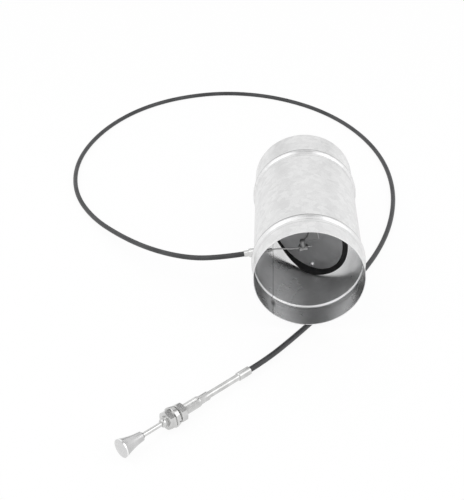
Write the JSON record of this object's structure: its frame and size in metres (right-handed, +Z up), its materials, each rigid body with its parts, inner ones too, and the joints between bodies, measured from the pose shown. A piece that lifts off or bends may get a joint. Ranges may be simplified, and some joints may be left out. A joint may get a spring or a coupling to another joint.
{
  "type": "duct damper",
  "caption": "Round galvanised duct sleeve with a rubber-edged butterfly blade inside, opened by a pull knob on a long sheathed control cable",
  "frame": {"origin": "On the floor under the middle of the sleeve, which lies on its rear bead and, at the mouth, on the cable that passes under it", "axes": "+Y runs from the sleeve's mouth to its rear, +Z is up, and +X is to the right as the mouth faces the viewer"},
  "size_m": [0.371, 0.6755, 0.1071],
  "materials": {
    "galvanised_sheet": "bright galvanised steel sheet with faint spangle",
    "blade_steel": "plain galvanised steel sheet, a little dull",
    "seal_rubber": "matt black sheet rubber",
    "zinc_plated": "bright zinc plate",
    "black_steel": "blackened steel pin",
    "rivet_aluminium": "bright aluminium rivet",
    "spring_wire": "drawn steel wire",
    "cable_jacket": "satin dark grey plastic jacket",
    "knob_aluminium": "satin turned aluminium"
  },
  "bodies": {
    "sleeve": {"duct_sleeve": "galvanised_sheet", "inlet_ferrule": "zinc_plated", "inlet_nut": "zinc_plated", "cable_sheath": "cable_jacket", "crimp_ferrule": "zinc_plated", "guide_tube": "zinc_plated", "threaded_barrel": "zinc_plated", "rear_nut": "zinc_plated", "lock_washer": "zinc_plated", "flat_washer": "zinc_plated", "front_nut": "zinc_plated"},
    "blade": {"front_disc": "blade_steel", "rear_disc": "blade_steel", "seal_disc": "seal_rubber", "upper_pivot_pin": "black_steel", "lower_pivot_pin": "black_steel", "pivot_rivets": "rivet_aluminium", "lever_arm": "blade_steel", "lever_rivets": "blade_steel", "wire_clamp": "blade_steel", "clamp_screws": "zinc_plated", "control_wire": "spring_wire"},
    "knob": {"pull_rod": "zinc_plated", "pull_knob": "knob_aluminium"}
  },
  "joints": [
    {"name": "blade_turn", "type": "hinge", "parent": "sleeve", "child": "blade", "pos_m": [0, -0.0082, 0.05363], "axis": [0.2019, -0.0232, -0.9791], "range_deg": [-40.3, 39.7], "deforming": ["control_wire"]},
    {"name": "knob_slide", "type": "slide", "parent": "sleeve", "child": "knob", "axis": [-0.6955, -0.7177, 0.0346], "range_m": [-0.0185, 0.0185]}
  ],
  "couplings": [
    {"joint": "knob_slide", "follows": "blade_turn", "m_per_rad": 0.0256}
  ]
}
